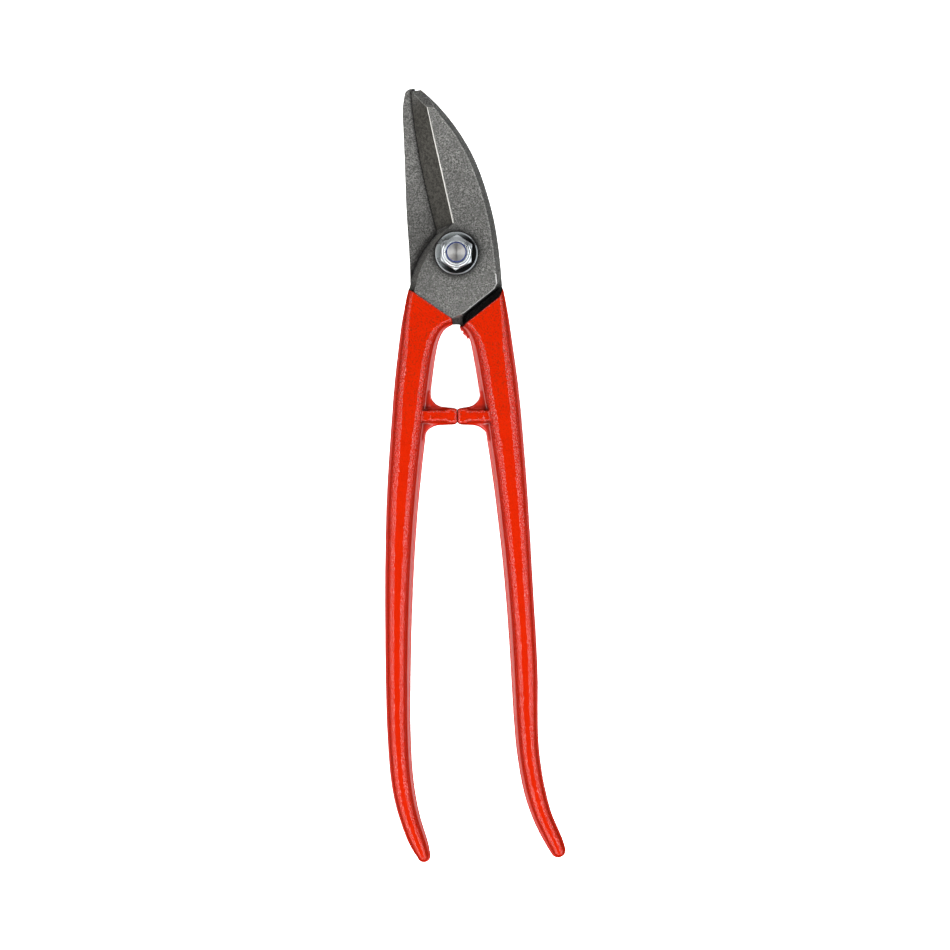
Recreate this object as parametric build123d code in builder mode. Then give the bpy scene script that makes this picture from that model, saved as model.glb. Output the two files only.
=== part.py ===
"""Drop-forged single-pivot tinner's snips, closed, in millimetres.

The origin is on the pivot axis, at the outer face of the bolt's head. +Z runs from that head to the
nut, +Y to the tips. The front half (above the shear plane) has the right blade and the left handle,
the rear half (below it) has the left blade and the right handle.
"""

import os

from build123d import *

os.makedirs("parts", exist_ok=True)

# Pivot fastener: 5/16 in bolt, plain washers, self-locking nut.
THREAD_D = 7.94
THREAD_PITCH = 1.41
THREAD_DEPTH = 0.3
HEX_FLATS = 12.7
HEX_CORNER_CUT = 0.3
HEX_CHAMFER_SLOPE = 0.58
HEX_TURN = 27.0
BOLT_HEAD_H = 5.3
BOLT_LENGTH = 24.5
BOLT_END_CHAMFER = 0.3
WASHER_D = 17.5
WASHER_HOLE_D = 8.7
WASHER_T = 1.6
WASHER_CHAMFER = 0.45
NUT_H = 8.0
NUT_HEX_H = 6.3
NUT_COLLAR_BASE_D = 12.4
NUT_COLLAR_WAIST_D = 11.0
NUT_COLLAR_TOP_D = 9.5
NUT_COLLAR_WAIST_H = 0.6
NUT_LIP_D = 8.7
NUT_LIP_T = 0.5
INSERT_D = 9.8
INSERT_H = 2.2
RUNNING_CLEARANCE = 0.05
NUT_CLEARANCE = 0.01

# Stack along the pivot axis.
PLATE_T = 6.5
BLADE_GAP = 0.1
EDGE_LAND = 0.5
REAR_Z = BOLT_HEAD_H + WASHER_T
SHEAR_Z = REAR_Z + PLATE_T
FRONT_Z = SHEAR_Z + PLATE_T
NUT_Z = FRONT_Z + WASHER_T

# Handle section: a thin parting-line rim, a sloping flange, a drafted wall, a round shoulder and a
# flat crown. Each step is how far in from the rim it lies, as a share of the way to the crown, and
# its height from the shear plane. All above the rim leans outwards, so the inner flange is wider:
# the lean is a share of the half width that the crown leaves free.
COAT_T = 0.3
RIM_HALF_T = 0.6
SECTION_STEPS = (
    (0.0, RIM_HALF_T),
    (0.34, 1.1),
    (0.4, 4.1),
    (0.49, 5.4),
    (0.61, 6.1),
    (0.71, 6.4),
    (0.84, 6.62),
    (1.0, PLATE_T + COAT_T),
)
SECTION_LEAN = 0.105

# Stop lugs: they meet on a plane beside the pivot axis and hold the snips closed.
STOP_X = 0.35
STOP_GAP = 0.1
LUG_HALF_T = 1.0
# Corners of a lug: distance from the root for the two concave arcs, from the stop plane for the
# two at its end, and Y.
LUG_UPPER_ROOT = ((0.0, -57.0), (1.2, -61.4), (4.2, -63.2))
LUG_UPPER_END = ((1.3, -63.8), (0.4, -64.2), (0.0, -65.2))
LUG_LOWER_END = ((0.0, -69.0), (0.4, -69.9), (1.4, -70.3))
LUG_LOWER_ROOT = ((5.6, -70.6), (1.9, -72.2), (0.0, -77.0))
LUG_ROOT_DEPTH = 5.0
# The raised pad on each face of a lug.
PAD_Y = -66.9
PAD_WIDTH = 5.6
PAD_HALF_T = 4.8
PAD_DRAFT = 9.0
PAD_MARGIN = 0.9

# Where the handles' coating ends, and where a handle steps up to its full thickness on the side
# that faces the other half. Both are lines across the front half, mirrored on the rear.
COAT_LINE = ((-30.0, -7.5), (-1.9, -26.8), (-1.2, -30.0))
SHOULDER_LINE = ((-30.0, -13.6), (-19.2, -14.0), (-17.9, -17.8), (-3.5, -29.1), (-1.1, -31.0))
ZONE_CORNERS = ((12.0, -31.0), (12.0, -262.0), (-60.0, -262.0))

# Ground facet that takes the front blade's point down to its cutting edge.
TIP_FACET_Y = 60.1
TIP_FACET_LENGTH = 10.0
TIP_FACET_DROP = 7.9
TIP_FACET_REACH = 20.0

# Rounding where the walls meet the outer face, as places in the outlines below and a radius: soft
# along a blade's back and the bevel's crest, crisp on the edge that faces the other handle's
# shoulder.
ROUNDINGS = (((9,), 1.0), ((0,), 0.9), ((6, 7, 8), 0.3))

# Front half: blade and pivot plate where they meet the shear plane, from the tip down the cutting
# edge, then round the plate and up the curved back.
FRONT_BASE = (
    ((-18.7, 67.2), (-16.7, 49.3), (-12.6, 27.8), (-8.1, 9.8)),
    ((-8.1, 9.8), (-8.3, 8.0)),
    ((-8.3, 8.0), (-11.2, 4.6), (-15.2, -1.6), (-17.7, -7.4), (-19.6, -14.8), (-21.0, -21.0)),
    ((-21.0, -21.0), (-5.0, -33.0)),
    ((-5.0, -33.0), (-1.4, -29.2)),
    ((-1.4, -29.2), (2.6, -28.9)),
    ((2.6, -28.9), (4.1, -25.2)),
    ((4.1, -25.2), (16.4, -15.4)),
    ((16.4, -15.4), (18.9, -13.6)),
    ((18.9, -13.6), (17.5, 1.7), (15.5, 14.1), (12.2, 26.5), (7.6, 38.9), (0.5, 51.3), (-6.0, 59.6),
     (-14.7, 67.9)),
    ((-14.7, 67.9), (-18.7, 67.2)),
)
# The same runs on the outer face, inside the drafted walls and the ground bevel.
FRONT_CROWN = (
    ((-13.5, 66.2), (-9.9, 50.4), (-6.3, 34.5), (-1.3, 12.4)),
    ((-1.3, 12.4), (-4.3, 9.3)),
    ((-4.3, 9.3), (-8.4, 4.4), (-11.8, -0.7), (-14.7, -6.5), (-17.1, -14.6), (-18.6, -21.0)),
    ((-18.6, -21.0), (-6.0, -30.0)),
    ((-6.0, -30.0), (-1.7, -26.6)),
    ((-1.7, -26.6), (2.2, -25.0)),
    ((2.2, -25.0), (3.5, -24.3)),
    ((3.5, -24.3), (15.6, -14.6)),
    ((15.6, -14.6), (16.8, -12.2)),
    ((16.8, -12.2), (15.4, 1.5), (13.4, 13.7), (10.2, 25.9), (5.7, 37.9), (-1.2, 50.1), (-7.7, 58.4),
     (-13.0, 65.9)),
    ((-13.0, 65.9), (-13.5, 66.2)),
)
# Rear half: its straight-backed blade on the left, the plate's round side on the right.
REAR_BASE = (
    ((-17.2, 68.3), (-12.4, 52.0), (-5.6, 36.0), (0.6, 20.0), (4.2, 11.0)),
    ((4.2, 11.0), (8.3, 8.0)),
    ((8.3, 8.0), (11.2, 4.6), (15.2, -1.6), (17.4, -7.4), (19.2, -14.8), (20.6, -21.0)),
    ((20.6, -21.0), (5.0, -33.0)),
    ((5.0, -33.0), (1.4, -29.2)),
    ((1.4, -29.2), (-2.6, -28.9)),
    ((-2.6, -28.9), (-4.1, -25.2)),
    ((-4.1, -25.2), (-16.2, -15.6)),
    ((-16.2, -15.6), (-19.1, -13.0)),
    ((-19.1, -13.0), (-19.5, -0.5), (-20.55, 15.0), (-21.4, 37.0), (-22.1, 53.0), (-22.2, 61.0),
     (-21.2, 66.9)),
    ((-21.2, 66.9), (-19.8, 68.1), (-17.2, 68.3)),
)
REAR_CROWN = (
    ((-20.3, 63.2), (-15.7, 50.6), (-10.6, 37.2), (-5.5, 23.8), (-1.6, 13.6)),
    ((-1.6, 13.6), (4.3, 9.3)),
    ((4.3, 9.3), (8.4, 4.4), (11.8, -0.7), (14.7, -6.5), (17.1, -14.6), (18.6, -21.0)),
    ((18.6, -21.0), (6.0, -30.0)),
    ((6.0, -30.0), (1.7, -26.6)),
    ((1.7, -26.6), (-2.2, -25.0)),
    ((-2.2, -25.0), (-3.5, -24.3)),
    ((-3.5, -24.3), (-15.2, -15.0)),
    ((-15.2, -15.0), (-16.7, -12.4)),
    ((-16.7, -12.4), (-17.3, -0.5), (-18.1, 15.0), (-19.3, 37.0), (-20.4, 53.0), (-20.8, 60.0),
     (-20.9, 62.6)),
    ((-20.9, 62.6), (-20.7, 63.1), (-20.3, 63.2)),
)

# Handles, as pairs of points across the rim from the pivot plate to the end: outer edge, inner
# edge, and how much of the half width the flat crown takes.
LEFT_STATIONS = (
    ((-18.7, -10.5), (2.2, -24.5), 0.80),
    ((-20.9, -18.9), (-1.0, -29.1), 0.74),
    ((-21.8, -23.6), (-4.2, -30.7), 0.66),
    ((-22.7, -28.7), (-6.5, -33.8), 0.56),
    ((-23.8, -37.0), (-8.0, -38.8), 0.45),
    ((-25.9, -56.1), (-10.6, -57.0), 0.38),
    ((-27.2, -74.0), (-12.7, -75.0), 0.31),
    ((-28.4, -91.7), (-14.6, -92.4), 0.28),
    ((-29.3, -115.0), (-16.6, -115.0), 0.26),
    ((-29.6, -146.0), (-18.2, -146.0), 0.22),
    ((-29.3, -176.0), (-18.9, -176.0), 0.21),
    ((-28.2, -205.8), (-18.6, -204.8), 0.2),
    ((-25.7, -225.6), (-16.8, -223.5), 0.2),
    ((-22.0, -238.0), (-13.9, -236.0), 0.2),
    ((-18.9, -245.2), (-11.7, -243.0), 0.2),
    ((-16.2, -249.4), (-10.8, -247.6), 0.22),
)
LEFT_END = (-13.0, -251.4)
RIGHT_STATIONS = (
    ((18.5, -10.5), (-2.2, -24.5), 0.80),
    ((20.3, -18.9), (1.0, -29.3), 0.74),
    ((21.2, -23.8), (3.6, -31.5), 0.66),
    ((22.1, -29.3), (5.3, -34.8), 0.56),
    ((23.2, -37.0), (6.4, -39.4), 0.45),
    ((25.8, -56.1), (9.4, -57.0), 0.38),
    ((27.5, -74.0), (12.3, -75.0), 0.31),
    ((28.9, -91.7), (14.9, -92.5), 0.28),
    ((30.4, -115.0), (17.7, -115.0), 0.26),
    ((32.2, -146.0), (20.7, -146.0), 0.22),
    ((33.65, -176.0), (22.7, -177.0), 0.21),
    ((34.2, -204.5), (24.9, -206.0), 0.2),
    ((36.8, -221.5), (28.3, -224.0), 0.2),
    ((40.2, -233.2), (32.4, -235.5), 0.2),
    ((44.2, -242.6), (37.2, -244.6), 0.2),
    ((45.2, -246.3), (39.0, -247.5), 0.22),
)
RIGHT_END = (42.1, -249.5)
# Side of the stop plane and how far from it the lug's upper and lower roots meet the handle.
LEFT_LUG = (-1, 10.8, 13.4)
RIGHT_LUG = (1, 9.1, 12.4)


def face(runs, height):
    """Plane face at a height. A run of two points is a line, of three an arc, of more a spline."""
    with BuildSketch(Plane.XY.offset(height)) as region:
        with BuildLine():
            for run in runs:
                if len(run) == 2:
                    Line(*run)
                elif len(run) == 3:
                    ThreePointArc(*run)
                else:
                    Spline(*run)
        make_face()
    return region.sketch


def loop(points):
    """Straight runs that join points in a closed loop."""
    return list(zip(points, points[1:] + points[:1]))


def handle_runs(stations, end, depth, inset):
    """Outline of a handle. Depth 0 is its rim, 1 the edge of its crown; inset shrinks it further."""
    outer, inner = [], []
    for rim_outer, rim_inner, crown in stations:
        middle = (Vector(*rim_outer) + Vector(*rim_inner)) / 2
        half = Vector(*rim_outer) - middle
        reach = 1 - (1 - crown) * depth - inset / half.length
        lean = half * SECTION_LEAN * (1 - crown) if depth else Vector()
        outer.append(middle + lean + half * reach)
        inner.append(middle + lean - half * reach)
    tip = middle + lean + (Vector(*end) - middle) * reach
    return [outer, [outer[-1], tip, inner[-1]], inner[::-1], [inner[0], outer[0]]]


def lug_face(side, upper_root, lower_root, inset):
    """Outline of a stop lug with its concave roots, closed inside the handle."""

    def at(distance, y):
        return (STOP_X + side * (STOP_GAP / 2 + distance), y)

    upper = [at(upper_root - away, y) for away, y in LUG_UPPER_ROOT]
    upper_end = [at(*corner) for corner in LUG_UPPER_END]
    lower_end = [at(*corner) for corner in LUG_LOWER_END]
    lower = [at(lower_root - away, y) for away, y in LUG_LOWER_ROOT]
    back = lower_root + LUG_ROOT_DEPTH
    top_back, bottom_back = at(back, LUG_UPPER_ROOT[0][1]), at(back, LUG_LOWER_ROOT[-1][1])
    with BuildSketch(Plane.XY.offset(SHEAR_Z)) as region:
        with BuildLine():
            ThreePointArc(*upper)
            Line(upper[-1], upper_end[0])
            ThreePointArc(*upper_end)
            Line(upper_end[-1], lower_end[0])
            ThreePointArc(*lower_end)
            Line(lower_end[-1], lower[0])
            ThreePointArc(*lower)
            Polyline(lower[-1], bottom_back, top_back, upper[0])
        make_face()
        if inset:
            offset(amount=-inset)
    return region.sketch


def forge_handle(stations, end, lug, inset):
    """Full-thickness handle with its lug. Inset 0 is the coated surface, COAT_T the steel."""
    side, upper_root, lower_root = lug
    pad_length = lower_root + LUG_ROOT_DEPTH - PAD_MARGIN
    with BuildPart() as handle:
        extrude(face(handle_runs(stations, end, 0, inset), SHEAR_Z), RIM_HALF_T - inset, both=True)
        extrude(lug_face(side, upper_root, lower_root, inset), LUG_HALF_T - inset, both=True)
        for way in (-1, 1):
            loft(
                [
                    face(handle_runs(stations, end, depth, inset), SHEAR_Z + way * (height - inset))
                    for depth, height in SECTION_STEPS
                ],
                ruled=True,
            )
            with BuildSketch(Plane.XY.offset(SHEAR_Z)) as pad:
                with Locations((STOP_X + side * (PAD_MARGIN + pad_length / 2), PAD_Y)):
                    Rectangle(pad_length - 2 * inset, PAD_WIDTH - 2 * inset)
            extrude(pad.sketch, way * (PAD_HALF_T - inset), taper=PAD_DRAFT)
    return handle.part


def coated_zone(side):
    """Where a half's handle is: below its coating line on its own face, its shoulder on the other."""
    with BuildPart() as region:
        for line, way in ((COAT_LINE, -side), (SHOULDER_LINE, side)):
            corners = [(-side * x, y) for x, y in line + ZONE_CORNERS]
            extrude(face(loop(corners), SHEAR_Z), way * 2 * PLATE_T)
    return region.part


def rim_edge(edges, run, height):
    """The edge whose ends are nearest to those of an outline's run at a height."""
    start, end = Vector(*run[0], height), Vector(*run[-1], height)

    def miss(edge):
        near, far = edge @ 0, edge @ 1
        return min((near - start).length + (far - end).length, (far - start).length + (near - end).length)

    return edges.sort_by(miss)[0]


def forge_plate(base, crown, outer_z):
    """Blade and pivot plate: a narrow square land at the shear face, then walls drafted inwards."""
    facing = 1 if outer_z > SHEAR_Z else -1
    shear_face_z = SHEAR_Z + facing * BLADE_GAP / 2
    land_z = shear_face_z + facing * EDGE_LAND
    with BuildPart() as plate:
        extrude(face(base, shear_face_z), facing * EDGE_LAND)
        loft([face(base, land_z), face(crown, outer_z)], ruled=True)
        for runs, radius in ROUNDINGS:
            fillet([rim_edge(plate.edges(), crown[run], outer_z) for run in runs], radius)
        with BuildSketch(Plane.XY.offset(REAR_Z)):
            Circle(THREAD_D / 2 + RUNNING_CLEARANCE)
        extrude(amount=2 * PLATE_T, mode=Mode.SUBTRACT)
    return plate.part


def handle_steel(stations, end, lug):
    """The steel inside a handle's coating."""
    with BuildPart() as core:
        add(forge_handle(stations, end, lug, COAT_T))
        add(coated_zone(lug[0]), mode=Mode.INTERSECT)
    return core.part


def turned(profile):
    """Solid of revolution about the pivot axis, from (radius, height) corners."""
    with BuildPart() as body:
        with BuildSketch(Plane.XZ):
            with BuildLine():
                Polyline(*profile, close=True)
            make_face()
        revolve(axis=Axis.Z)
    return body.part


def hexagon(bottom, height, chamfer_top):
    """Hexagon prism with two corners nearly along Y. The corners of its free faces are turned off."""
    corner_r = HEX_FLATS / 3**0.5
    face_r = HEX_FLATS / 2 - HEX_CORNER_CUT
    drop = (corner_r - face_r) * HEX_CHAMFER_SLOPE
    top = bottom + height
    outline = [(0, bottom), (face_r, bottom), (corner_r, bottom + drop)]
    outline += [(corner_r, top - drop), (face_r, top)] if chamfer_top else [(corner_r, top)]
    with BuildPart() as body:
        with BuildSketch(Plane.XY.offset(bottom)):
            RegularPolygon(HEX_FLATS / 2, 6, major_radius=False, rotation=HEX_TURN)
        extrude(amount=height)
        add(turned(outline + [(0, top)]), mode=Mode.INTERSECT)
    return body.part


def washer(bottom, chamfer_top):
    """Plain washer whose outer rim is chamfered on the side that shows."""
    with BuildPart() as body:
        with BuildSketch(Plane.XY.offset(bottom)):
            Circle(WASHER_D / 2)
            Circle(WASHER_HOLE_D / 2, mode=Mode.SUBTRACT)
        extrude(amount=WASHER_T)
        shown = body.faces().sort_by(Axis.Z)[-1 if chamfer_top else 0]
        chamfer(shown.outer_wire().edges(), WASHER_CHAMFER)
    return body.part


# Front half: the left handle's steel and the plate with the right blade, whose point is ground to
# a facet. Its plate gives way to the handle where the coating starts.
with BuildPart() as front_half:
    add(forge_plate(FRONT_BASE, FRONT_CROWN, FRONT_Z))
    add(coated_zone(LEFT_LUG[0]), mode=Mode.SUBTRACT)
    with BuildSketch(Plane.YZ):
        with BuildLine():
            Polyline(
                (TIP_FACET_Y, FRONT_Z),
                (TIP_FACET_Y + TIP_FACET_LENGTH, FRONT_Z - TIP_FACET_DROP),
                (TIP_FACET_Y + TIP_FACET_LENGTH, FRONT_Z + PLATE_T),
                (TIP_FACET_Y, FRONT_Z + PLATE_T),
                close=True,
            )
        make_face()
    extrude(amount=TIP_FACET_REACH, both=True, mode=Mode.SUBTRACT)
    add(handle_steel(LEFT_STATIONS, LEFT_END, LEFT_LUG))

with BuildPart() as front_handle_coating:
    add(forge_handle(LEFT_STATIONS, LEFT_END, LEFT_LUG, 0.0))
    add(coated_zone(LEFT_LUG[0]), mode=Mode.INTERSECT)
    add(handle_steel(LEFT_STATIONS, LEFT_END, LEFT_LUG), mode=Mode.SUBTRACT)

# Rear half: the right handle's steel and the plate with the left blade.
with BuildPart() as rear_half:
    add(forge_plate(REAR_BASE, REAR_CROWN, REAR_Z))
    add(coated_zone(RIGHT_LUG[0]), mode=Mode.SUBTRACT)
    add(handle_steel(RIGHT_STATIONS, RIGHT_END, RIGHT_LUG))

with BuildPart() as rear_handle_coating:
    add(forge_handle(RIGHT_STATIONS, RIGHT_END, RIGHT_LUG, 0.0))
    add(coated_zone(RIGHT_LUG[0]), mode=Mode.INTERSECT)
    add(handle_steel(RIGHT_STATIONS, RIGHT_END, RIGHT_LUG), mode=Mode.SUBTRACT)

# Bolt: hexagon head down, shank with ring grooves for the thread inside the nut, chamfered end.
bolt_top = BOLT_HEAD_H + BOLT_LENGTH
thread_r = THREAD_D / 2
with BuildPart() as pivot_bolt:
    add(hexagon(0, BOLT_HEAD_H, chamfer_top=False))
    add(
        turned(
            [
                (0, 0),
                (thread_r, 0),
                (thread_r, bolt_top - BOLT_END_CHAMFER),
                (thread_r - BOLT_END_CHAMFER, bolt_top),
                (0, bolt_top),
            ]
        )
    )
    groove_z = NUT_Z + THREAD_PITCH / 2
    while groove_z < bolt_top - THREAD_PITCH:
        groove = [
            (thread_r + THREAD_DEPTH, groove_z - THREAD_PITCH / 2),
            (thread_r - THREAD_DEPTH, groove_z),
            (thread_r + THREAD_DEPTH, groove_z + THREAD_PITCH / 2),
        ]
        add(turned(groove), mode=Mode.SUBTRACT)
        groove_z += THREAD_PITCH

# Nut: chamfered hexagon, a hollow fillet up to the rounded collar, and a lip turned in over the
# insert.
nut_bore_r = thread_r + NUT_CLEARANCE
collar_r = NUT_COLLAR_BASE_D / 2
collar_z = NUT_Z + NUT_HEX_H
waist_r = NUT_COLLAR_WAIST_D / 2
waist_z = collar_z + NUT_COLLAR_WAIST_H
lip_z = NUT_Z + NUT_H - NUT_LIP_T
insert_z = lip_z - INSERT_H
with BuildPart() as lock_nut:
    add(hexagon(NUT_Z, NUT_HEX_H, chamfer_top=True))
    with BuildSketch(Plane.XZ):
        with BuildLine():
            Line((0, NUT_Z), (collar_r, NUT_Z))
            Line((collar_r, NUT_Z), (collar_r, collar_z))
            TangentArc((waist_r, waist_z), (collar_r, collar_z), tangent=(0, 1), tangent_from_first=False)
            EllipticalCenterArc(
                (NUT_COLLAR_TOP_D / 2, waist_z),
                waist_r - NUT_COLLAR_TOP_D / 2,
                NUT_Z + NUT_H - waist_z,
                start_angle=0,
                arc_size=90,
            )
            Line((NUT_COLLAR_TOP_D / 2, NUT_Z + NUT_H), (0, NUT_Z + NUT_H))
            Line((0, NUT_Z + NUT_H), (0, NUT_Z))
        make_face()
    revolve(axis=Axis.Z)
    with BuildSketch(Plane.XY.offset(NUT_Z)):
        Circle(nut_bore_r)
    extrude(amount=NUT_H, mode=Mode.SUBTRACT)
    with BuildSketch(Plane.XY.offset(insert_z)):
        Circle(INSERT_D / 2)
    extrude(amount=INSERT_H, mode=Mode.SUBTRACT)
    with BuildSketch(Plane.XY.offset(lip_z)):
        Circle(NUT_LIP_D / 2)
    extrude(amount=NUT_LIP_T, mode=Mode.SUBTRACT)

with BuildPart() as nylon_insert:
    with BuildSketch(Plane.XY.offset(insert_z)):
        Circle(INSERT_D / 2)
        Circle(nut_bore_r, mode=Mode.SUBTRACT)
    extrude(amount=INSERT_H)

with BuildPart() as head_washer:
    add(washer(BOLT_HEAD_H, chamfer_top=False))

with BuildPart() as nut_washer:
    add(washer(FRONT_Z, chamfer_top=True))

front_half.part.label = "front_half"
front_handle_coating.part.label = "front_handle_coating"
rear_half.part.label = "rear_half"
rear_handle_coating.part.label = "rear_handle_coating"
pivot_bolt.part.label = "pivot_bolt"
head_washer.part.label = "head_washer"
nut_washer.part.label = "nut_washer"
lock_nut.part.label = "lock_nut"
nylon_insert.part.label = "nylon_insert"

export_step(front_half.part, "parts/front_half.step")
export_step(front_handle_coating.part, "parts/front_handle_coating.step")
export_step(rear_half.part, "parts/rear_half.step")
export_step(rear_handle_coating.part, "parts/rear_handle_coating.step")
export_step(pivot_bolt.part, "parts/pivot_bolt.step")
export_step(head_washer.part, "parts/head_washer.step")
export_step(nut_washer.part, "parts/nut_washer.step")
export_step(lock_nut.part, "parts/lock_nut.step")
export_step(nylon_insert.part, "parts/nylon_insert.step")
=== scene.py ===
"""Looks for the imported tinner's snips: lacquered forged handles, shot-blasted jaws, zinc fastener.

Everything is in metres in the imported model's frame: the pivot axis is Z through the origin, +Y runs
to the tips, and the camera looks straight down on the nut's side.
"""

import math

import bmesh
import bpy
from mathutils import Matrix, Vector, noise


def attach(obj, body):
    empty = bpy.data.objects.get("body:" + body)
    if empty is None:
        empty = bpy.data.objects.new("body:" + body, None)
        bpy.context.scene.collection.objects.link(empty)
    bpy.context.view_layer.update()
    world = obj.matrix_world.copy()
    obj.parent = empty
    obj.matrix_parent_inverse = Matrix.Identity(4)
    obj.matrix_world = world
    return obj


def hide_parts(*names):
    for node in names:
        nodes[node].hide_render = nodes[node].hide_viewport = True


MM = 0.001

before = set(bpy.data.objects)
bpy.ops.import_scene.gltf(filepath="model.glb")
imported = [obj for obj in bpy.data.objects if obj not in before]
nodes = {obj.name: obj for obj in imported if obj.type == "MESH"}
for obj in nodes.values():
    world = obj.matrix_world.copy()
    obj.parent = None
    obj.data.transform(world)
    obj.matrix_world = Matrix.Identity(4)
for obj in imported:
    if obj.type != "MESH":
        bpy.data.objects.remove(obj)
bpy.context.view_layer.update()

# Height of the plane between the two halves, and of the nut washer's upper face.
SHEAR_Z = 13.4 * MM
WASHER_TOP = 21.5 * MM

# --------------------------------------------------------------------------------------------
# Camera and stage
# --------------------------------------------------------------------------------------------
CAMERA_HEIGHT = 1.7
FRAME_WIDTH = 0.3927
SENSOR = 36.0
FRAME_CENTRE = (7.65 * MM, -91.3 * MM)

camera_data = bpy.data.cameras.new("camera")
camera_data.sensor_width = SENSOR
camera_data.lens = SENSOR * CAMERA_HEIGHT / FRAME_WIDTH
camera_data.clip_start = 0.05
camera_data.clip_end = 60.0
camera = bpy.data.objects.new("camera", camera_data)
camera.location = (*FRAME_CENTRE, SHEAR_Z + CAMERA_HEIGHT)
bpy.context.scene.collection.objects.link(camera)
bpy.context.scene.camera = camera
bpy.context.scene.view_settings.view_transform = "Standard"


def new_object(name, mesh):
    """Links a new object that shows a mesh."""
    made = bpy.data.objects.new(name, mesh)
    bpy.context.scene.collection.objects.link(made)
    return made


LIGHT_TARGET = Vector((8 * MM, -91 * MM, SHEAR_Z))
WARM = (1.0, 0.99, 0.97)
COOL = (0.97, 0.99, 1.0)


def softbox(name, azimuth, zenith, distance, size_across, size_along, radiance, tint=(1, 1, 1)):
    """Area light that faces the snips. Azimuth 0 is +X, zenith is the angle from straight above."""
    area = size_across * size_along
    data = bpy.data.lights.new(name, "AREA")
    data.shape = "RECTANGLE"
    data.size = size_along
    data.size_y = size_across
    data.energy = radiance * math.pi * area
    data.color = tint
    light = bpy.data.objects.new(name, data)
    a, z = math.radians(azimuth), math.radians(zenith)
    away = Vector((math.cos(a) * math.sin(z), math.sin(a) * math.sin(z), math.cos(z)))
    light.location = LIGHT_TARGET + away * distance
    light.rotation_mode = "QUATERNION"
    light.rotation_quaternion = away.to_track_quat("Z", "Y")
    bpy.context.scene.collection.objects.link(light)


for side, azimuth, low_azimuth, tint in (("left", 205, 200, WARM), ("right", 335, 340, COOL)):
    softbox("softbox_" + side, azimuth, 44, 1.4, 0.74, 2.6, 3.9, tint)
    softbox("tube_" + side, azimuth, 30, 1.4, 0.13, 2.4, 12.0, tint)
    softbox("low_" + side, low_azimuth, 86, 1.5, 0.8, 3.2, 1.1, tint)
softbox("softbox_top", 90, 76, 2.0, 1.6, 3.6, 1.3)
softbox("softbox_bottom", 270, 66, 2.2, 0.8, 1.2, 1.0)

world = bpy.data.worlds.new("studio")
world.use_nodes = True
world.node_tree.nodes["Background"].inputs["Color"].default_value = (0.02, 0.02, 0.02, 1)
bpy.context.scene.world = world


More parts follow.
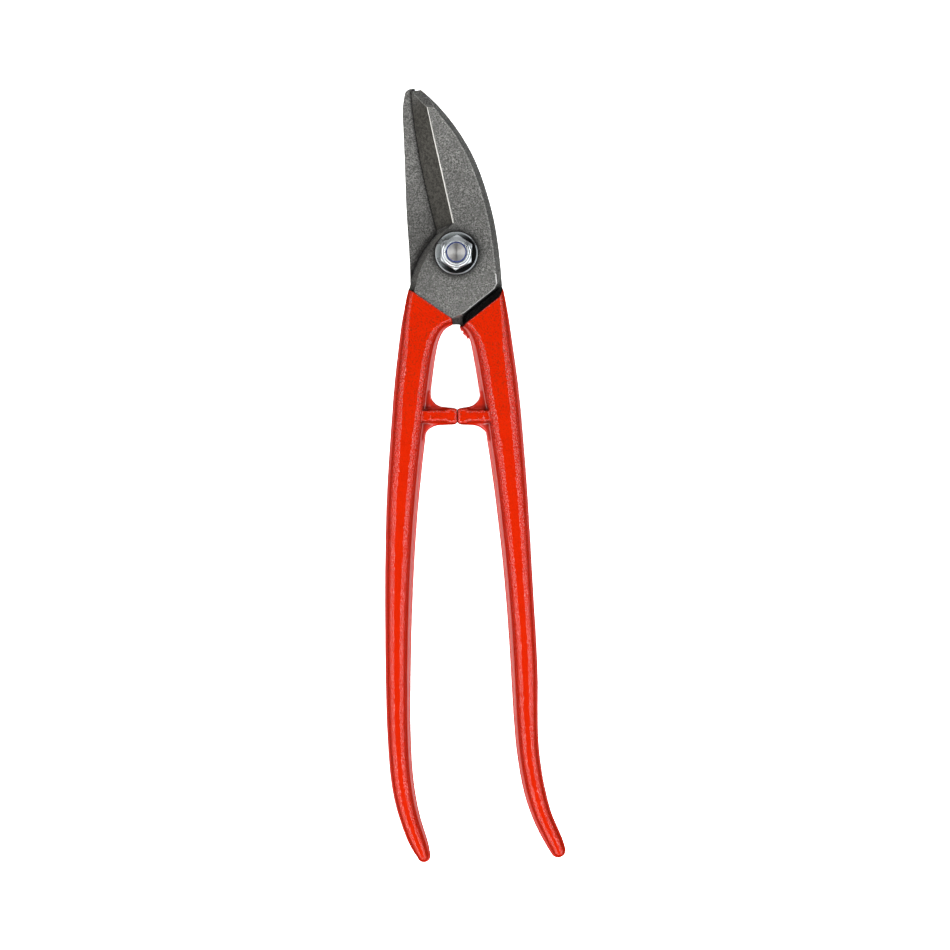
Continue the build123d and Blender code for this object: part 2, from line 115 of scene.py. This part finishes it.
# --------------------------------------------------------------------------------------------
# Shader helpers
# --------------------------------------------------------------------------------------------
class Shader:
    """A new node material with short ways to add and link nodes."""

    def __init__(self, name):
        self.material = bpy.data.materials.new(name)
        self.material.use_nodes = True
        self.tree = self.material.node_tree
        self.tree.nodes.clear()
        self.output = self.tree.nodes.new("ShaderNodeOutputMaterial")
        self.bsdf = self.tree.nodes.new("ShaderNodeBsdfPrincipled")
        self.link(self.bsdf.outputs[0], self.output.inputs["Surface"])
        self.coords = self.tree.nodes.new("ShaderNodeTexCoord")
        self.position = self.coords.outputs["Object"]

    def link(self, source, socket):
        self.tree.links.new(source, socket)

    def put(self, socket, value):
        """Links a node's output to the socket, or sets the socket to a plain value."""
        if isinstance(value, bpy.types.NodeSocket):
            self.link(value, socket)
        else:
            socket.default_value = value

    def math(self, operation, a, b=0.0):
        node = self.tree.nodes.new("ShaderNodeMath")
        node.operation = operation
        self.put(node.inputs[0], a)
        self.put(node.inputs[1], b)
        return node.outputs[0]

    def smooth(self, value, low, high, out_low=0.0, out_high=1.0):
        """A soft step from out_low to out_high as the value goes from low to high."""
        node = self.tree.nodes.new("ShaderNodeMapRange")
        node.interpolation_type = "SMOOTHSTEP"
        self.put(node.inputs["Value"], value)
        node.inputs["From Min"].default_value = low
        node.inputs["From Max"].default_value = high
        self.put(node.inputs["To Min"], out_low)
        self.put(node.inputs["To Max"], out_high)
        return node.outputs["Result"]

    def noise(self, size, detail=2.0, roughness=0.5, vector=None):
        """Noise whose features are about size metres across."""
        node = self.tree.nodes.new("ShaderNodeTexNoise")
        node.inputs["Scale"].default_value = 1 / size
        node.inputs["Detail"].default_value = detail
        node.inputs["Roughness"].default_value = roughness
        self.link(vector or self.position, node.inputs["Vector"])
        return node.outputs["Fac"]

    def mix(self, factor, a, b):
        node = self.tree.nodes.new("ShaderNodeMix")
        node.data_type = "RGBA"
        self.put(node.inputs["Factor"], factor)
        for socket, value in ((node.inputs[6], a), (node.inputs[7], b)):
            if isinstance(value, tuple):
                socket.default_value = (*value, 1.0)
            else:
                self.link(value, socket)
        return node.outputs[2]

    def bump(self, height, distance, strength=1.0, normal=None):
        """A normal bumped by a height, on top of another normal if one is given."""
        node = self.tree.nodes.new("ShaderNodeBump")
        node.inputs["Distance"].default_value = distance
        self.put(node.inputs["Strength"], strength)
        self.link(height, node.inputs["Height"])
        if normal is not None:
            self.link(normal, node.inputs["Normal"])
        return node.outputs["Normal"]

    def painted_crevice_shade(self, distance, power):
        """Painted shade: 1 on open surfaces, falling to 0 in corners and slots narrower than the
        distance.
        """
        node = self.tree.nodes.new("ShaderNodeAmbientOcclusion")
        node.samples = 6
        self.put(node.inputs["Distance"], distance)
        return self.math("POWER", node.outputs["AO"], power)

    def rounded(self, radius):
        """The normal, in world space, as if every edge were rounded."""
        node = self.tree.nodes.new("ShaderNodeBevel")
        node.samples = 8
        node.inputs["Radius"].default_value = radius
        return node.outputs[0]

    def to_object(self, normal):
        """A world-space normal in the object's own space."""
        node = self.tree.nodes.new("ShaderNodeVectorTransform")
        node.vector_type = "NORMAL"
        node.convert_from = "WORLD"
        node.convert_to = "OBJECT"
        self.link(normal, node.inputs[0])
        return node.outputs[0]

    def edges(self, radius, low, high):
        """1 along sharp edges, 0 more than about a radius away from them."""
        geometry = self.tree.nodes.new("ShaderNodeNewGeometry")
        dot = self.tree.nodes.new("ShaderNodeVectorMath")
        dot.operation = "DOT_PRODUCT"
        self.link(self.rounded(radius), dot.inputs[0])
        self.link(geometry.outputs["Normal"], dot.inputs[1])
        return self.smooth(self.math("SUBTRACT", 1.0, dot.outputs["Value"]), low, high)

    def times(self, color, factor):
        """A colour scaled by a factor."""
        node = self.tree.nodes.new("ShaderNodeVectorMath")
        node.operation = "SCALE"
        self.link(color, node.inputs[0])
        self.put(node.inputs["Scale"], factor)
        return node.outputs[0]

    def product(self, *factors):
        """All the factors multiplied together."""
        result = factors[0]
        for factor in factors[1:]:
            result = self.math("MULTIPLY", result, factor)
        return result

    def split(self, vector):
        node = self.tree.nodes.new("ShaderNodeSeparateXYZ")
        self.link(vector, node.inputs[0])
        return node.outputs


def nz_sign(s, height):
    """1 on the nut's side of the shear plane, -1 on the head's side."""
    return s.smooth(height, -0.2 * MM, 0.2 * MM, -1.0, 1.0)


# Size of the X and Y parts of the direction that the shoulder's slot wall faces.
SLOT_FACING = (0.62, 0.78)


def lacquer():
    """Glossy red lacquer over forging scale: grainy on crown and shoulders, smooth on the rim."""
    s = Shader("red_lacquer")
    y, z = s.split(s.position)[1:]
    height_signed = s.math("SUBTRACT", z, SHEAR_Z)
    height = s.math("ABSOLUTE", height_signed)
    up = s.math("ABSOLUTE", s.split(s.coords.outputs["Normal"])[2])
    forged = s.smooth(height, 2.2 * MM, 4.0 * MM, 0.0, 1.0)
    flat = s.smooth(up, 0.975, 0.998, 0.0, 1.0)
    grain = s.noise(0.55 * MM, detail=1.5, roughness=0.5)
    peel = s.noise(2.6 * MM, detail=1.0)
    pits = s.smooth(s.noise(0.7 * MM, detail=2.0), 0.36, 0.47, 1.0, 0.0)
    base = s.mix(s.noise(9 * MM), (0.455, 0.0125, 0.0003), (0.395, 0.0090, 0.0002))
    neck = s.smooth(y, -95 * MM, -45 * MM, 0.15, 0.7)
    dark = s.mix(s.product(pits, forged, neck), base, (0.15, 0.014, 0.003))
    # Painted shadow in the slot between a handle's shoulder and the other half's plate: its wall faces
    # along SLOT_FACING, and its floor lies near the shear plane.
    nx, ny = s.split(s.coords.outputs["Normal"])[:2]
    facing = s.math(
        "SUBTRACT",
        s.math("MULTIPLY", ny, SLOT_FACING[1]),
        s.product(nx, nz_sign(s, height_signed), SLOT_FACING[0]),
    )
    slot_wall = s.smooth(facing, 0.25, 0.4)
    slot_floor = s.math(
        "MULTIPLY", s.smooth(up, 0.8, 0.9), s.smooth(height, 1.5 * MM, 2.5 * MM, 1.0, 0.0)
    )
    in_slot = s.product(
        s.math("MAXIMUM", slot_wall, slot_floor),
        s.smooth(y, -31 * MM, -29.5 * MM),
        s.smooth(height, 5.6 * MM, 6.3 * MM, 1.0, 0.0),
    )
    # Painted shade: the lacquer darkens in corners, and far more in the slot.
    shade = s.mix(in_slot, s.painted_crevice_shade(2.5 * MM, 1.5), s.painted_crevice_shade(7 * MM, 4.0))
    s.put(s.bsdf.inputs["Base Color"], s.times(dark, shade))
    rim = s.product(s.smooth(height, 1.5 * MM, 2.1 * MM, 1.0, 0.0), s.smooth(up, 0.6, 0.8))
    s.put(s.bsdf.inputs["Roughness"], s.smooth(rim, 0.0, 1.0, 0.13, 0.32))
    s.bsdf.inputs["IOR"].default_value = 1.5
    coarse = s.bump(peel, 0.6 * MM, s.product(forged, 0.5))
    grip = s.smooth(y, -150 * MM, -60 * MM, 0.5, 0.72)
    grain_strength = s.product(forged, grip, s.smooth(flat, 0.0, 1.0, 1.0, 0.12))
    s.put(s.bsdf.inputs["Normal"], s.bump(grain, 1.0 * MM, grain_strength, coarse))
    return s.material


# Overall strength of the steel's colour under these lights.
STEEL_LEVEL = 0.63


def blasted_steel():
    """Shot-blasted forging with ground bevels, a ground point and edges bright with wear and painted
    highlights, painted shade in hollows and painted light on walls.
    """
    s = Shader("blasted_steel")
    x, y, z = s.split(s.position)
    nx, ny, nz = s.split(s.coords.outputs["Normal"])
    up = s.math("ABSOLUTE", nz)
    depth = s.math("ABSOLUTE", s.math("SUBTRACT", z, SHEAR_Z))
    towards_edge = s.math("MULTIPLY", s.math("MULTIPLY", nx, nz), -1.0)
    slope = s.math("MULTIPLY", s.smooth(up, 0.66, 0.72), s.smooth(up, 0.82, 0.86, 1.0, 0.0))
    bevel = s.product(slope, s.smooth(towards_edge, 0.32, 0.42), s.smooth(y, 8.5 * MM, 9.5 * MM))
    # The ridge between the bevel and the blade's face, which carries a painted highlight.
    crest = s.product(
        s.smooth(up, 0.82, 0.85),
        s.smooth(up, 0.985, 0.995, 1.0, 0.0),
        s.smooth(towards_edge, 0.06, 0.12),
    )
    # The plate's edge along the slot is bright with wear and a painted highlight.
    slot_side = s.product(s.math("SUBTRACT", s.math("MULTIPLY", nx, nz), s.math("MULTIPLY", ny, up)), 0.7)
    slot_edge = s.product(
        s.smooth(slot_side, 0.12, 0.2),
        s.smooth(up, 0.4, 0.5),
        s.smooth(up, 0.98, 0.99, 1.0, 0.0),
        s.smooth(depth, 5.2 * MM, 5.6 * MM),
        s.smooth(y, -10 * MM, -8 * MM, 1.0, 0.0),
    )
    edge_wear_and_highlight = s.product(
        s.edges(0.5 * MM, 0.006, 0.03),
        s.smooth(y, 13 * MM, 16 * MM, 0.0, 0.7),
        s.smooth(depth, 1.2 * MM, 2.4 * MM),
    )
    soft_x, soft_y = s.split(s.to_object(s.rounded(0.8 * MM)))[:2]
    towards_slot = s.math("SUBTRACT", s.math("MULTIPLY", soft_x, nz), s.math("MULTIPLY", soft_y, up))
    slot_rim = s.product(
        s.smooth(towards_slot, 0.12, 0.45),
        s.smooth(up, 0.9, 0.98),
        s.smooth(depth, 5.2 * MM, 5.6 * MM),
        s.smooth(y, -10 * MM, -8 * MM, 1.0, 0.0),
        0.85,
    )
    # Edge wear and painted highlights together: a brighter colour and lower roughness along these edges.
    wear_and_highlight = s.math("MAXIMUM", s.math("MAXIMUM", edge_wear_and_highlight, slot_rim), s.math("MAXIMUM", crest, slot_edge))
    # Blasted grain: pits, sparks and blotches over two tones of grey.
    grain = s.noise(0.6 * MM, detail=3.0, roughness=0.7)
    pits = s.smooth(s.noise(1.0 * MM, detail=2.0), 0.30, 0.46, 1.0, 0.0)
    sparks = s.smooth(s.noise(0.7 * MM, detail=1.0), 0.62, 0.72)
    blotch = s.noise(7 * MM, detail=2.0)
    fleck = s.mix(s.smooth(grain, 0.38, 0.64), (0.075, 0.074, 0.070), (0.30, 0.297, 0.285))
    blasted = s.mix(s.product(pits, 0.6), fleck, (0.05, 0.049, 0.046))
    toned = s.mix(s.smooth(blotch, 0.3, 0.7, 0.0, 0.45), blasted, (0.13, 0.129, 0.124))
    sparked = s.mix(s.product(sparks, 0.5), toned, (0.55, 0.54, 0.52))
    # Grinding lines run across the bevel.
    scratches = s.tree.nodes.new("ShaderNodeMapping")
    scratches.inputs["Scale"].default_value = (0.06, 1.0, 1.0)
    s.link(s.position, scratches.inputs["Vector"])
    lines = s.noise(0.3 * MM, detail=2.0, vector=scratches.outputs[0])
    mottle = s.math("MULTIPLY", s.math("ADD", lines, s.noise(1.2 * MM, detail=3.0)), 0.5)
    # The bevel's darker ground tone is partly its finish and partly painted shade on a face turned from
    # the lights.
    ground_and_shade_tone = s.mix(s.smooth(mottle, 0.38, 0.62), (0.050, 0.049, 0.044), (0.118, 0.113, 0.102))
    steel_color = s.mix(bevel, sparked, ground_and_shade_tone)
    polish_and_highlight = s.product(wear_and_highlight, s.smooth(grain, 0.3, 0.5, 0.55, 1.0))
    bright = s.mix(polish_and_highlight, steel_color, (0.44, 0.435, 0.42))
    # Painted shade deep in the slot, and a painted shadow where the front blade lies on the rear one.
    in_slot = s.product(
        s.smooth(y, -12 * MM, -8 * MM, 1.0, 0.0), s.smooth(depth, 4 * MM, 5 * MM, 1.0, 0.0)
    )
    contact_shadow_reach = s.smooth(y, 0.0, 60 * MM, 3.2, 1.3)
    open_painted_shade = s.product(s.painted_crevice_shade(s.product(contact_shadow_reach, MM), 6.0), s.painted_crevice_shade(6 * MM, 1.0))
    shade = s.mix(in_slot, open_painted_shade, s.painted_crevice_shade(7 * MM, 3.0))
    # Painted light: steep walls and the rounded back of the blade are lighter than the flat faces.
    back = s.smooth(s.math("MULTIPLY", towards_edge, -1.0), 0.08, 0.14)
    steep = s.smooth(up, 0.30, 0.46, 2.3, 1.0)
    rounded = s.product(
        back,
        s.smooth(up, 0.7, 0.8),
        s.smooth(up, 0.985, 0.995, 1.0, 0.0),
        s.smooth(y, -12 * MM, -6 * MM),
    )
    low = s.smooth(y, -14 * MM, -10 * MM)
    walls = s.math("ADD", 1.0, s.math("MULTIPLY", s.math("SUBTRACT", steep, 1.0), low))
    painted_wall_light = s.math("MULTIPLY", walls, s.smooth(rounded, 0.0, 1.0, 1.0, 1.7))
    # Painted shade and light: darker beside the pivot, lighter again towards the tips.
    pivot_painted_shade = s.smooth(y, -6 * MM, 6 * MM, 1.0, 0.84)
    along = s.math("ADD", pivot_painted_shade, s.smooth(y, 12 * MM, 50 * MM, 0.0, 0.24))
    # Darker on the plate left of the pivot.
    left_of_pivot = s.product(
        s.smooth(x, -15 * MM, -5 * MM, 1.0, 0.0),
        s.smooth(s.math("ABSOLUTE", y), 14 * MM, 22 * MM, 1.0, 0.0),
    )
    left_of_pivot_darker = s.smooth(left_of_pivot, 0.0, 1.0, 1.0, 0.84)
    level = s.product(painted_wall_light, along, left_of_pivot_darker, STEEL_LEVEL)
    s.put(s.bsdf.inputs["Base Color"], s.times(s.times(bright, shade), level))
    s.put(s.bsdf.inputs["Metallic"], s.smooth(bevel, 0.0, 1.0, 0.75, 0.9))
    s.put(s.bsdf.inputs["Roughness"], s.math("SUBTRACT", 0.5, s.math("MULTIPLY", wear_and_highlight, 0.22)))
    coarse_grain = s.math("SUBTRACT", 1.0, s.math("MULTIPLY", s.math("MAXIMUM", bevel, wear_and_highlight), 0.85))
    grained = s.bump(grain, 0.4 * MM, coarse_grain)
    s.put(s.bsdf.inputs["Normal"], s.bump(lines, 0.03 * MM, bevel, grained))
    return s.material


def zinc():
    """Bright zinc plating, with painted light on the upper left of flat faces and painted shadow on the
    washer's lower right and beside the nut, as seen on the nut's side.
    """
    s = Shader("zinc_plate")
    cloud = s.noise(3 * MM, detail=3.0)
    base = s.mix(cloud, (0.38, 0.41, 0.43), (0.48, 0.50, 0.515))
    flat = s.smooth(s.math("ABSOLUTE", s.split(s.coords.outputs["Normal"])[2]), 0.93, 0.98)
    x, y, z = s.split(s.position)
    towards_light = s.math("SUBTRACT", s.math("MULTIPLY", y, 0.6), s.math("MULTIPLY", x, 0.8))
    north_west = s.smooth(towards_light, -4 * MM, 8 * MM)
    # Painted light: flat faces are brighter and bluer towards the upper left.
    painted_light_tone = s.mix(s.math("MULTIPLY", flat, north_west), base, (0.90, 0.97, 1.0))
    # Painted shadow on the washer: darker beside the nut and towards the lower right, with painted light
    # on its upper left.
    washer = s.product(flat, s.smooth(z, WASHER_TOP + 0.2 * MM, WASHER_TOP + 0.5 * MM, 1.0, 0.0))
    washer_painted_shade = s.math("MULTIPLY", s.painted_crevice_shade(5 * MM, 2.0), s.smooth(north_west, 0.1, 0.9, 0.08, 1.5))
    shade = s.smooth(washer, 0.0, 1.0, 1.0, washer_painted_shade)
    s.put(s.bsdf.inputs["Base Color"], s.times(painted_light_tone, shade))
    s.bsdf.inputs["Metallic"].default_value = 0.95
    s.put(s.bsdf.inputs["Roughness"], s.smooth(cloud, 0.3, 0.7, 0.26, 0.34))
    s.put(s.bsdf.inputs["Normal"], s.bump(s.noise(0.5 * MM), 0.02 * MM, 0.4))
    return s.material


def turned_zinc():
    """Zinc over a faced bolt end: concentric tool marks stretch the lights into radial wedges."""
    s = Shader("turned_zinc")
    x, y = s.split(s.position)[:2]
    radius = s.math("SQRT", s.math("ADD", s.math("MULTIPLY", x, x), s.math("MULTIPLY", y, y)))
    rings = s.tree.nodes.new("ShaderNodeCombineXYZ")
    s.link(radius, rings.inputs[0])
    marks = s.noise(0.25 * MM, detail=2.0, vector=rings.outputs[0])
    s.put(s.bsdf.inputs["Base Color"], s.mix(marks, (0.42, 0.415, 0.41), (0.56, 0.555, 0.55)))
    s.bsdf.inputs["Metallic"].default_value = 1.0
    s.bsdf.inputs["Roughness"].default_value = 0.3
    s.bsdf.inputs["Anisotropic"].default_value = 0.97
    s.bsdf.inputs["Anisotropic Rotation"].default_value = 0.25
    tangent = s.tree.nodes.new("ShaderNodeTangent")
    tangent.direction_type = "RADIAL"
    tangent.axis = "Z"
    s.link(tangent.outputs[0], s.bsdf.inputs["Tangent"])
    s.put(s.bsdf.inputs["Normal"], s.bump(marks, 0.02 * MM, 0.5))
    return s.material


def nylon():
    """Dark blue nylon."""
    s = Shader("nylon_blue")
    tone = s.mix(s.noise(1 * MM), (0.006, 0.014, 0.085), (0.010, 0.022, 0.12))
    s.put(s.bsdf.inputs["Base Color"], tone)
    s.bsdf.inputs["Roughness"].default_value = 0.4
    return s.material


def set_material(obj, material):
    """Puts the material in every slot of the object, or in a first one."""
    for slot_at in range(max(1, len(obj.material_slots))):
        if slot_at < len(obj.material_slots):
            obj.material_slots[slot_at].material = material
        else:
            obj.data.materials.append(material)


# --------------------------------------------------------------------------------------------
# Handles and nut: one closed mesh each, grown over its solid
# --------------------------------------------------------------------------------------------
VOXEL = 0.33 * MM
SMOOTH_PASSES = 3
NUT_VOXEL = 0.11 * MM
NUT_SMOOTH_PASSES = 5
# Corners of the coated zone in a handle's own half, for the front half (mm). The coat line is on
# the handle's own face, the shoulder line on the face towards the other half.
COAT_LINE = ((-30.0, -7.5), (-1.9, -26.8), (-1.2, -30.0))
SHOULDER_LINE = ((-30.0, -13.6), (-19.2, -14.0), (-17.9, -17.8), (-3.5, -29.1), (-1.1, -31.0))
ZONE_CORNERS = ((12.0, -31.0), (12.0, -262.0), (-60.0, -262.0))
ZONE_HALF_T = 13.0
STOP_X = 0.35
STOP_MARGIN = 0.01
LUG_Y = -66.9
# How far from the stop plane a lug's two blocks start before smoothing, and their half sizes (mm).
LUG_TIPS = ((0.15, 2.9, 4.9), (-0.6, 1.6, 2.0))
LUG_SMOOTH_PASSES = 34
LUG_REGAIN = 0.28
# Runs of lacquer on the rear handle's inner rim: X, Y and radius (mm).
BEADS = (
    (1.7, -30.2, 0.6),
    (2.2, -31.2, 0.7),
    (3.1, -31.7, 0.6),
    (3.3, -32.8, 0.75),
    (3.9, -33.5, 0.55),
    (4.6, -34.5, 0.6),
)
BEAD_LIFT = 0.5 * MM
# Where the lug's softening ends: half its length along Y and its reach from the stop plane, each
# with the width over which it fades out (mm).
LUG_HALF_REACH = 7.0
LUG_REACH = 12.5
LUG_FADE = 2.0
STOP_HALF_W = 6.0
# The nylon's rounded bead beside the bolt's end: radius and height (mm).
BEAD_PROFILE = (
    (3.64, 29.2),
    (3.64, 29.74),
    (3.72, 29.78),
    (3.86, 29.74),
    (4.05, 29.6),
    (4.24, 29.35),
    (4.3, 29.2),
)


def welded_copy(name, node):
    """A copy of a CAD node's mesh whose coincident vertices are one."""
    mesh = nodes[node].data.copy()
    bm = bmesh.new()
    bm.from_mesh(mesh)
    bmesh.ops.remove_doubles(bm, verts=bm.verts, dist=1e-7)
    bm.to_mesh(mesh)
    bm.free()
    return new_object(name, mesh)


def prism(name, corners, z_low, z_high):
    """Closed straight prism over corners given in millimetres."""
    bm = bmesh.new()
    bottom = [bm.verts.new((x * MM, y * MM, z_low)) for x, y in corners]
    face = bm.faces.new(bottom)
    made = bmesh.ops.extrude_face_region(bm, geom=[face])
    for vert in made["geom"]:
        if isinstance(vert, bmesh.types.BMVert):
            vert.co.z = z_high
    bmesh.ops.recalc_face_normals(bm, faces=bm.faces)
    mesh = bpy.data.meshes.new(name)
    bm.to_mesh(mesh)
    bm.free()
    return new_object(name, mesh)


def lathe(name, profile, steps=96):
    """Closed ring turned about the pivot axis from (radius, height) corners in millimetres."""
    bm = bmesh.new()
    rings = []
    for step in range(steps):
        turn = 2 * math.pi * step / steps
        across, along = math.cos(turn) * MM, math.sin(turn) * MM
        rings.append([bm.verts.new((r * across, r * along, h * MM)) for r, h in profile])
    for ring, after in zip(rings, rings[1:] + rings[:1]):
        for at in range(len(profile)):
            beside = (at + 1) % len(profile)
            bm.faces.new((ring[at], after[at], after[beside], ring[beside]))
    bmesh.ops.recalc_face_normals(bm, faces=bm.faces)
    mesh = bpy.data.meshes.new(name)
    bm.to_mesh(mesh)
    bm.free()
    ring_object = new_object(name, mesh)
    shade_smooth(ring_object)
    return ring_object


def shade_smooth(obj):
    """Shades every face of the object smooth."""
    for polygon in obj.data.polygons:
        polygon.use_smooth = True


def apply_modifiers(obj):
    """Replaces the object's mesh by its evaluated one."""
    graph = bpy.context.evaluated_depsgraph_get()
    mesh = bpy.data.meshes.new_from_object(obj.evaluated_get(graph))
    obj.modifiers.clear()
    obj.data = mesh


def boolean(obj, other, operation):
    """Cuts, joins or intersects obj with other, and removes other."""
    modifier = obj.modifiers.new("cut", "BOOLEAN")
    modifier.operation = operation
    modifier.solver = "EXACT"
    modifier.object = other
    apply_modifiers(obj)
    bpy.data.objects.remove(other)


def merge(obj, others):
    """Adds the other objects' meshes to obj and removes them."""
    bm = bmesh.new()
    bm.from_mesh(obj.data)
    for other in others:
        bm.from_mesh(other.data)
        bpy.data.objects.remove(other)
    bm.to_mesh(obj.data)
    bm.free()


def keep_largest_shell(mesh):
    """Deletes every connected shell but the largest one."""
    bm = bmesh.new()
    bm.from_mesh(mesh)
    left, best = set(bm.verts), []
    while left:
        seed = left.pop()
        shell, stack = [seed], [seed]
        while stack:
            for edge in stack.pop().link_edges:
                for vert in edge.verts:
                    if vert in left:
                        left.discard(vert)
                        shell.append(vert)
                        stack.append(vert)
        if len(shell) > len(best):
            best = shell
    kept = set(best)
    bmesh.ops.delete(bm, geom=[v for v in bm.verts if v not in kept], context="VERTS")
    bm.to_mesh(mesh)
    bm.free()


def forged_handle(name, side, half_node, coating_node):
    """The coated part of a half as one closed mesh. Side is -1 for the left handle."""
    core = welded_copy(name + "_core", half_node)
    zones = []
    for line, way in ((COAT_LINE, -side), (SHOULDER_LINE, side)):
        corners = [(-side * x, y) for x, y in line + ZONE_CORNERS]
        low, high = sorted((SHEAR_Z, SHEAR_Z + way * ZONE_HALF_T * MM))
        zones.append(prism(name + "_zone", corners, low, high))
    boolean(zones[0], zones[1], "UNION")
    boolean(core, zones[0], "INTERSECT")
    handle = welded_copy(name, coating_node)
    extras = lug_tips(name, side)
    if side > 0:
        extras += [bead(name + "_bead", *place) for place in BEADS]
    merge(handle, [core] + extras)
    remesh = handle.modifiers.new("remesh", "REMESH")
    remesh.mode = "VOXEL"
    remesh.voxel_size = VOXEL
    apply_modifiers(handle)
    keep_largest_shell(handle.data)
    smooth = handle.modifiers.new("smooth", "SMOOTH")
    smooth.factor = 0.5
    smooth.iterations = SMOOTH_PASSES
    apply_modifiers(handle)
    return handle


def rounded_nut(name, node):
    """The nut with its edges and corners tumbled round."""
    nut = welded_copy(name, node)
    remesh = nut.modifiers.new("remesh", "REMESH")
    remesh.mode = "VOXEL"
    remesh.voxel_size = NUT_VOXEL
    apply_modifiers(nut)
    smooth = nut.modifiers.new("smooth", "SMOOTH")
    smooth.factor = 0.5
    smooth.iterations = NUT_SMOOTH_PASSES
    apply_modifiers(nut)
    shade_smooth(nut)
    return nut


def lug_tips(name, side):
    """Blocks that carry the lug's pad, and its thin middle, to the stop plane."""
    tips = []
    for start, half_width, half_height in LUG_TIPS:
        corners = [(start, 1), (4.0, 1), (4.0, -1), (start, -1)]
        placed = [(STOP_X + side * away, LUG_Y + end * half_width) for away, end in corners]
        tips.append(prism(name + "_lug", placed, SHEAR_Z - half_height * MM, SHEAR_Z + half_height * MM))
    return tips


def bead(name, x, y, radius):
    """Small ball of run lacquer on the rim."""
    bm = bmesh.new()
    bmesh.ops.create_icosphere(bm, subdivisions=2, radius=radius * MM)
    bmesh.ops.translate(bm, verts=bm.verts, vec=(x * MM, y * MM, SHEAR_Z + BEAD_LIFT))
    mesh = bpy.data.meshes.new(name)
    bm.to_mesh(mesh)
    bm.free()
    return new_object(name, mesh)


def lug_weight(place, side):
    """1 on the lug, fading to 0 along the handle and into its wall."""
    across = abs(place.y / MM - LUG_Y)
    away = side * (place.x / MM - STOP_X)
    beside = min(1.0, max(0.0, (LUG_HALF_REACH - across) / LUG_FADE))
    return beside * min(1.0, max(0.0, (LUG_REACH - away) / LUG_FADE))


def soften_lug(handle, side):
    """Rounds the lug's pad and its roots."""
    group = handle.vertex_groups.new(name="lug")
    for vert in handle.data.vertices:
        near = lug_weight(vert.co, side)
        if near > 0.0:
            group.add([vert.index], near, "REPLACE")
    smooth = handle.modifiers.new("soften", "SMOOTH")
    smooth.factor = 0.5
    smooth.iterations = LUG_SMOOTH_PASSES
    smooth.vertex_group = "lug"
    apply_modifiers(handle)
    handle.vertex_groups.clear()
    normals = [v.normal.copy() for v in handle.data.vertices]
    for vert, normal in zip(handle.data.vertices, normals):
        vert.co += normal * LUG_REGAIN * lug_weight(vert.co, side) * MM
    handle.data.update()


def keep_off_stop(handle, side):
    """Flattens the lug's end just short of the stop plane."""
    for vert in handle.data.vertices:
        away = side * (vert.co.x / MM - STOP_X)
        if away < STOP_MARGIN and abs(vert.co.y / MM - LUG_Y) < STOP_HALF_W:
            vert.co.x = (STOP_X + side * STOP_MARGIN) * MM
    handle.data.update()


def roughen(handle, seed):
    """Forging waviness and hammer scale under the lacquer, pressed into the mesh."""
    mesh = handle.data
    normals = [v.normal.copy() for v in mesh.vertices]
    for vert, normal in zip(mesh.vertices, normals):
        away = abs(vert.co.z - SHEAR_Z) / MM
        rough = min(1.0, max(0.0, (away - 1.8) / 1.6))
        p = vert.co / MM + Vector((seed, 2 * seed, 3 * seed))
        wave = noise.noise(p / 7.0) * 0.10
        scale = noise.noise(p / 1.6) * 0.05 + noise.noise(p / 0.85) * 0.035
        vert.co += normal * (wave * 0.5 + (wave * 0.5 + scale) * rough - 0.03) * MM
    mesh.update()


red = lacquer()
steel = blasted_steel()
zinc_plate = zinc()
turned = turned_zinc()
blue = nylon()

for name in ("front_half", "rear_half"):
    set_material(nodes[name], steel)
for name in ("head_washer", "nut_washer"):
    set_material(nodes[name], zinc_plate)
set_material(nodes["pivot_bolt"], turned)
set_material(nodes["nylon_insert"], blue)
nut = rounded_nut("nut", "lock_nut")
set_material(nut, zinc_plate)
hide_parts("lock_nut")
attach(nut, "front")
nylon_bead = lathe("nylon_bead", BEAD_PROFILE)
set_material(nylon_bead, blue)
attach(nylon_bead, "front")
handles = (
    ("front_handle", -1, "front_half", "front_handle_coating", "front"),
    ("rear_handle", 1, "rear_half", "rear_handle_coating", "rear"),
)
for name, side, half_node, coating_node, body in handles:
    handle = forged_handle(name, side, half_node, coating_node)
    soften_lug(handle, side)
    roughen(handle, 11.0 + side)
    keep_off_stop(handle, side)
    shade_smooth(handle)
    set_material(handle, red)
    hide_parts(coating_node)
    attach(handle, body)

# --------------------------------------------------------------------------------------------
# Floor: seen by the camera only, so it neither lights nor darkens the snips
# --------------------------------------------------------------------------------------------
FLOOR_HALF = 12.0
FLOOR_Z = -0.5 * MM
FLOOR_CORNERS = [(FLOOR_HALF * x, FLOOR_HALF * y, 0) for x, y in ((-1, -1), (1, -1), (1, 1), (-1, 1))]

floor_mesh = bpy.data.meshes.new("floor")
floor_mesh.from_pydata(FLOOR_CORNERS, [], [(0, 1, 2, 3)])
floor = new_object("floor", floor_mesh)
floor.location.z = FLOOR_Z
paper = Shader("white_paper")
paper.put(
    paper.bsdf.inputs["Base Color"],
    paper.mix(paper.noise(0.4), (0.93, 0.93, 0.93), (0.96, 0.96, 0.96)),
)
paper.bsdf.inputs["Roughness"].default_value = 0.9
paper.bsdf.inputs["Emission Color"].default_value = (1, 1, 1, 1)
paper.bsdf.inputs["Emission Strength"].default_value = 1.0
paper.material.cycles.emission_sampling = "NONE"
floor.data.materials.append(paper.material)
floor.visible_diffuse = False
floor.visible_glossy = False
floor.visible_shadow = False
